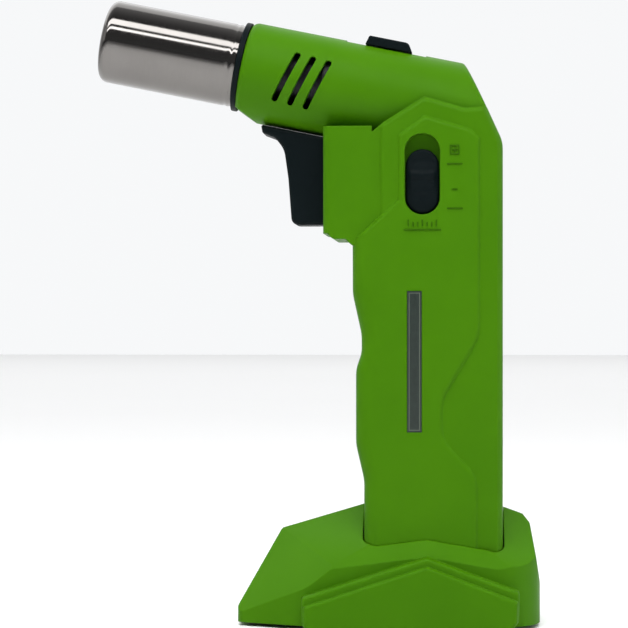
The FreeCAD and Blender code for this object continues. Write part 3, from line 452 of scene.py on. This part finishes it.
def softened(node, slot, width, segments=2, angle=24.0):
    """A node's own surface, its triangles joined into faces and its edges rounded."""
    source = frame["nodes"][node]
    mesh = source.data.copy()
    mesh.name = node + "_soft"
    b = bmesh.new()
    b.from_mesh(mesh)
    bmesh.ops.remove_doubles(b, verts=b.verts, dist=2e-6)
    bmesh.ops.dissolve_degenerate(b, edges=b.edges, dist=1e-6)
    bmesh.ops.dissolve_limit(b, angle_limit=math.radians(0.6), verts=b.verts, edges=b.edges)
    b.to_mesh(mesh)
    b.free()
    for key in ("custom_normal", "sharp_edge", "sharp_face"):
        if key in mesh.attributes:
            mesh.attributes.remove(mesh.attributes[key])
    piece = enrol(bpy.data.objects.new(node + "_soft", mesh), slot, BODY_OF[node], (node,))
    bevel = piece.modifiers.new("soft edges", "BEVEL")
    bevel.width = width
    bevel.segments = segments
    bevel.limit_method = "ANGLE"
    bevel.angle_limit = math.radians(angle)
    bevel.use_clamp_overlap = True
    bevel.harden_normals = True
    bevel.miter_outer = "MITER_ARC"
    return piece


def flame_tube():
    """Tube with a rolled mouth and a rolled lip by the collar.

    Formula: a closed profile of distance along the barrel and radius, carried round the
    burner's axis; the mouth is a quarter circle rolled inward, the lip a low bell curve on the radius.
    """
    s = shape()
    wall, outer, roll, step = s.tube_wall, s.tube_radius, s.mouth_roll, 0.18 * MM
    root, bend = s.tube_root, s.tube_tip - s.mouth_roll
    u = np.linspace(root, bend, 120)
    neck = 1 / (1 + np.exp(-(u - root - 2.6 * MM) / (0.16 * MM)))
    bead = np.exp(-((u - root - 1.3 * MM) / (0.5 * MM)) ** 2)
    turn = np.linspace(0, math.pi / 2, 16)[1:]
    fold = np.linspace(0, math.pi, 9)[1:-1]
    along = np.concatenate([
        u,
        bend + roll * np.sin(turn),
        bend + roll - wall / 2 * (1 - np.cos(fold)),
        bend + (roll - wall) * np.sin(turn[::-1]),
        u[::-1]])
    skin = outer - step * (1 - neck) + step * bead
    radius = np.concatenate([
        skin,
        outer - roll * (1 - np.cos(turn)),
        outer - roll - 0.4 * wall * np.sin(fold),
        outer - roll + (roll - wall) * np.cos(turn[::-1]),
        np.full(len(u), outer - wall)])
    angle = np.linspace(0, 2 * math.pi, s.around, endpoint=False)
    rise = s.burner_height + radius[:, None] * np.sin(angle)
    points = on_barrel(along[:, None] + 0 * angle, rise, radius[:, None] * np.cos(angle))
    return new_piece("flame_tube", points, grid_faces(len(along), len(angle), True), "stainless",
                     BODY_OF["nozzle_tube"], ("nozzle_tube",))


def obround_ring(half_width, half_length, steps):
    """Points of a slot outline: two half circles on a straight middle, (x, z) by angle."""
    angle = np.linspace(0, 2 * math.pi, steps, endpoint=False)
    x = half_width * np.cos(angle)
    z = half_width * np.sin(angle) + (half_length - half_width) * np.clip(np.sin(angle) * 6, -1, 1)
    return x, z


def knob():
    """Slider knob with a swelling face and four cross ridges.

    Formula: slot-shaped rings, each inset from the last; the depth is the rim's quarter
    circle, then a parabola over the face, plus pointed ridges on set heights, less a
    bell-shaped scoop above them.
    """
    s = shape()
    lo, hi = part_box("slider_knob")
    middle = (lo + hi) / 2
    half_w, half_l = (hi.x - lo.x) / 2, (hi.z - lo.z) / 2
    rim, back, face = KNOB_RIM, hi.y, lo.y + KNOB_RIDGE_RISE + s.knob_crown
    turn = np.linspace(0, math.pi / 2, 8)
    inner = np.linspace(rim, half_w, 46)[1:]
    inset = np.concatenate([[0.98 * half_w, 0, 0], rim * (1 - np.cos(turn)), inner])[:, None]
    depth = np.concatenate([
        [back, back, face + rim * 1.01], face + rim * (1 - np.sin(turn)), np.full(len(inner), face)])
    x, z = obround_ring(half_w - inset, half_l - inset, KNOB_STEPS)
    x, z = middle.x + x, middle.z + z
    top = np.clip((inset - rim) / (half_w - rim), 0, 1)
    top[:3] = 0.0
    swell = s.knob_crown * (1 - (1 - top) ** 2)
    height = np.zeros_like(z)
    for level, rise, thick in KNOB_RIDGES:
        above = (z - level * MM) / (thick * MM)
        height = np.maximum(height, rise * np.clip(1.6 - np.abs(above), 0, 1))
    scoop_z, spread, share = KNOB_SCOOP
    scoop = share * np.exp(-((z - scoop_z) / spread) ** 2)
    y = depth[:, None] - swell - KNOB_RIDGE_RISE * (height - scoop) * np.clip(top * 5, 0, 1)
    points = np.stack([x, y, z], -1)
    return new_piece("thumb_knob", points, grid_faces(*points.shape[:2]), "dark_plastic",
                     BODY_OF["slider_knob"], ("slider_knob",))


def raised_bar(start, end, y, rise, steps=24):
    """Points and faces of a bar from start to end, (x, z): slot-shaped rings, closed at both ends.

    Formula: each ring is a circle split across its middle, its halves carried to the bar's
    two ends; the rings shrink as they rise, and a middle point closes the first and the last.
    """
    start, end = np.array(start), np.array(end)
    run = (end - start) / np.linalg.norm(end - start)
    across = np.array([-run[1], run[0]])
    angle = np.linspace(0, 2 * math.pi, steps, endpoint=False)
    share, up = np.array([(1.0, -1.0), (1.0, 0.0), (0.86, 0.55), (0.55, 0.9), (0.02, 1.0)]).T
    half = MARK_WIDTH / 2 * share[:, None, None]
    circle = np.cos(angle)[:, None] * run + np.sin(angle)[:, None] * across
    flat = half * circle + np.where((np.cos(angle) > 0)[:, None], end, start)
    depth = np.broadcast_to((y - rise * up)[:, None], flat.shape[:2])
    rings = np.stack([flat[..., 0], depth, flat[..., 1]], -1)
    points = np.concatenate([rings.reshape(-1, 3), rings[[0, -1]].mean(axis=1)])
    ring = np.arange(steps)
    after = (ring + 1) % steps
    used, last = rings.shape[0] * steps, (rings.shape[0] - 1) * steps
    first_cap = np.stack([ring, after, np.full(steps, used)], -1)
    last_cap = np.stack([ring + last, after + last, np.full(steps, used + 1)], -1)
    return points, (grid_faces(*rings.shape[:2]), first_cap, last_cap)


def level_line(x, z, half):
    """Ends of a level line by its middle and half its length."""
    return (x - half, z), (x + half, z)


def marks():
    """Moulded plus and minus beside the slot, and a row of plain ticks under it."""
    rise, y = shape().mark_rise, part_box("left_shell")[0].y
    runs = [level_line(MARK_X, PLUS_Z, PLUS_ARM),
            ((MARK_X, PLUS_Z - PLUS_ARM), (MARK_X, PLUS_Z + PLUS_ARM)),
            level_line(MARK_X, MINUS_Z, PLUS_ARM)]
    left, right = MARK_X - FRAME_HALF, MARK_X + FRAME_HALF
    low, high = PLUS_Z - FRAME_HALF, PLUS_Z + FRAME_HALF
    corners = [(left, low), (right, low), (right, high), (left, high)]
    runs.extend(zip(corners, corners[1:] + corners[:1]))
    runs.append(level_line(MARK_X, PLUS_Z - PLUS_LINE_DROP, LINE_HALF))
    runs.append(level_line(MARK_X, MINUS_Z - MINUS_LINE_DROP, LINE_HALF))
    for k in range(TICKS):
        x = TICKS_X + (k - TICKS // 2) * TICK_STEP
        runs.append(((x, TICKS_Z - TICK_FOOT), (x, TICKS_Z + (TICK_SHORT if k % LONG_EVERY else TICK_LONG))))
    runs.append(level_line(TICKS_X, TICKS_Z - TICK_LINE_DROP, TICK_LINE_HALF))
    points, faces, used = [], [], 0
    for start, end in runs:
        bar, groups = raised_bar(start, end, y, rise)
        points.append(bar)
        faces.extend(face for group in groups for face in (group + used).tolist())
        used += len(bar)
    mesh = bpy.data.meshes.new("moulded_marks")
    mesh.from_pydata(np.concatenate(points).tolist(), [], faces)
    b = bmesh.new()
    b.from_mesh(mesh)
    bmesh.ops.recalc_face_normals(b, faces=b.faces)
    b.to_mesh(mesh)
    b.free()
    piece = enrol(bpy.data.objects.new("moulded_marks", mesh), "body_green", BODY_OF["left_shell"])
    # The marks take the darkened green, a painted shade.
    piece.data.materials[0] = bpy.data.materials[MARKS_PAINTED_SHADE]
    return piece


# ---- operators -------------------------------------------------------------------------

class TORCH_OT_finishes(Operator):
    """Makes the finishes and gives every carried-over node its own"""
    bl_idname = "torch.finishes"
    bl_label = "Finishes"

    def execute(self, context):
        make_finishes()
        for part in frame["record"]["subparts"]:
            node = frame["nodes"][part["node"]]
            node.data.materials.clear()
            node.data.materials.append(finish_of(part["material_slot"]))
        return {"FINISHED"}


class TORCH_OT_body(Operator):
    """Softens the moulded edges of the shells and adds their marks"""
    bl_idname = "torch.body"
    bl_label = "Shells"

    def execute(self, context):
        for node in ("left_shell", "right_shell"):
            softened(node, "body_green", shape().soft_edge)
        marks()
        return {"FINISHED"}


class TORCH_OT_stand(Operator):
    """Softens the stand's edges"""
    bl_idname = "torch.stand"
    bl_label = "Stand"

    def execute(self, context):
        softened("stand", "body_green", shape().stand_edge, 3)
        return {"FINISHED"}


class TORCH_OT_tube(Operator):
    """Makes the flame tube with its rolled mouth and lip"""
    bl_idname = "torch.tube"
    bl_label = "Flame tube"

    def execute(self, context):
        flame_tube()
        return {"FINISHED"}


class TORCH_OT_controls(Operator):
    """Makes the thumb knob and softens the trigger, lock and collar"""
    bl_idname = "torch.controls"
    bl_label = "Controls"

    def execute(self, context):
        knob()
        for node in ("trigger", "lock_button", "nozzle_collar"):
            softened(node, "dark_plastic", shape().trim_edge)
        return {"FINISHED"}


class TORCH_OT_stage(Operator):
    """Sets the floor, the soft lights, the surroundings and the camera"""
    bl_idname = "torch.stage"
    bl_label = "Stage"

    def execute(self, context):
        s = stage()
        floor()
        world = bpy.data.worlds.new("surroundings")
        world.use_nodes = True
        surroundings(world.node_tree, s)
        context.scene.world = world
        context.scene.view_settings.view_transform = "Standard"
        aim = Vector(s.aim)
        for name, placing in LIGHTS.items():
            soft_light(name, aim, *placing)
        soft_light("backdrop_wash", Vector(WASH_AIM), *WASH_LIGHT)
        camera = bpy.data.cameras.new("camera")
        camera.lens = s.lens
        camera.clip_start, camera.clip_end = 0.01, 20.0
        eye = bpy.data.objects.new("camera", camera)
        back = Vector((math.sin(s.yaw), -math.cos(s.yaw), 0.0))
        eye.location = aim + back * s.distance
        eye.rotation_euler = (-back).to_track_quat("-Z", "Y").to_euler()
        context.scene.collection.objects.link(eye)
        context.scene.camera = eye
        return {"FINISHED"}


def floor():
    """Plain pale floor, a level grid round the origin with faint clouding."""
    mesh = bpy.data.meshes.new("stage_floor")
    reach = np.linspace(-FLOOR_REACH, FLOOR_REACH, FLOOR_LINES)
    x, y = np.meshgrid(reach, reach)
    points = np.stack([x, y, np.zeros_like(x)], -1).reshape(-1, 3)
    faces = grid_faces(FLOOR_LINES, FLOOR_LINES, False, False)
    mesh.from_pydata(points.tolist(), [], faces.tolist())
    f = Finish("pale_floor")
    cloud = f.between(f.noise(3.0, 3.0), 0.3, 0.7, 0.0, 0.3)
    tint = tuple(colours().floor)
    blend = f.mix(cloud, tint, tuple(0.97 * c for c in tint))
    mesh.materials.append(f.done(color=blend, rough=0.4, specular=0.5))
    piece = bpy.data.objects.new("stage_floor", mesh)
    bpy.context.scene.collection.objects.link(piece)


def surroundings(tree, s):
    """Pale backdrop that darkens towards the front and overhead, by direction alone."""
    def add(kind, operation=None):
        node = tree.nodes.new(kind)
        if operation:
            node.operation = operation
        return node
    place, split = add("ShaderNodeTexCoord"), add("ShaderNodeSeparateXYZ")
    tree.links.new(place.outputs["Generated"], split.inputs[0])
    depth, height = add("ShaderNodeMapRange"), add("ShaderNodeMapRange")
    both = add("ShaderNodeMath", "MULTIPLY")
    for node, axis, low, high in ((depth, "Y", -0.6, 0.8), (height, "Z", 0.1, 0.9)):
        tree.links.new(split.outputs[axis], node.inputs["Value"])
        node.interpolation_type = "SMOOTHSTEP"
        node.inputs["From Min"].default_value, node.inputs["From Max"].default_value = low, high
    depth.inputs["To Min"].default_value, depth.inputs["To Max"].default_value = s.front, s.sky
    height.inputs["To Min"].default_value, height.inputs["To Max"].default_value = 1.0, s.zenith
    tree.links.new(depth.outputs[0], both.inputs[0])
    tree.links.new(height.outputs[0], both.inputs[1])
    tree.links.new(both.outputs[0], tree.nodes["Background"].inputs["Strength"])
    tree.nodes["Background"].inputs["Color"].default_value = (0.98, 0.99, 1.0, 1.0)


def soft_light(name, aim, azimuth, elevation, distance, width, height, power, mirrored):
    """Area light on a sphere round the aim, facing it, seen in polished metal where mirrored."""
    a, e = math.radians(azimuth), math.radians(elevation)
    back = Vector((math.sin(a) * math.cos(e), -math.cos(a) * math.cos(e), math.sin(e)))
    light = bpy.data.lights.new(name, "AREA")
    light.shape = "RECTANGLE"
    light.size, light.size_y = width, height
    light.energy = getattr(stage(), power)
    lamp = bpy.data.objects.new(name, light)
    lamp.visible_glossy = mirrored
    lamp.location = aim + back * distance
    lamp.rotation_euler = (-back).to_track_quat("-Z", "Y").to_euler()
    bpy.context.scene.collection.objects.link(lamp)


class TORCH_PT_panel(Panel):
    """Lists the torch's pieces and sizes"""
    bl_idname = "TORCH_PT_panel"
    bl_label = "Butane torch"
    bl_space_type = "VIEW_3D"
    bl_region_type = "UI"
    bl_category = "Torch"

    def draw(self, context):
        for operator in OPERATORS:
            self.layout.operator(operator.bl_idname)
        for group in (context.scene.torch_shape, context.scene.torch_colours, context.scene.torch_stage):
            for key in group.__annotations__:
                self.layout.prop(group, key)


GROUPS = {"torch_shape": TorchShape, "torch_colours": TorchColours, "torch_stage": TorchStage}
OPERATORS = (TORCH_OT_finishes, TORCH_OT_body, TORCH_OT_stand, TORCH_OT_tube, TORCH_OT_controls,
             TORCH_OT_stage)


def register():
    for cls in (*GROUPS.values(), *OPERATORS, TORCH_PT_panel):
        bpy.utils.register_class(cls)
    for name, group in GROUPS.items():
        setattr(bpy.types.Scene, name, PointerProperty(type=group))


def unregister():
    for name in GROUPS:
        delattr(bpy.types.Scene, name)
    for cls in reversed((*GROUPS.values(), *OPERATORS, TORCH_PT_panel)):
        bpy.utils.unregister_class(cls)


def main():
    register()
    for operator in OPERATORS:
        group, name = operator.bl_idname.split(".")
        getattr(getattr(bpy.ops, group), name)()


if __name__ == "__main__":
    main()
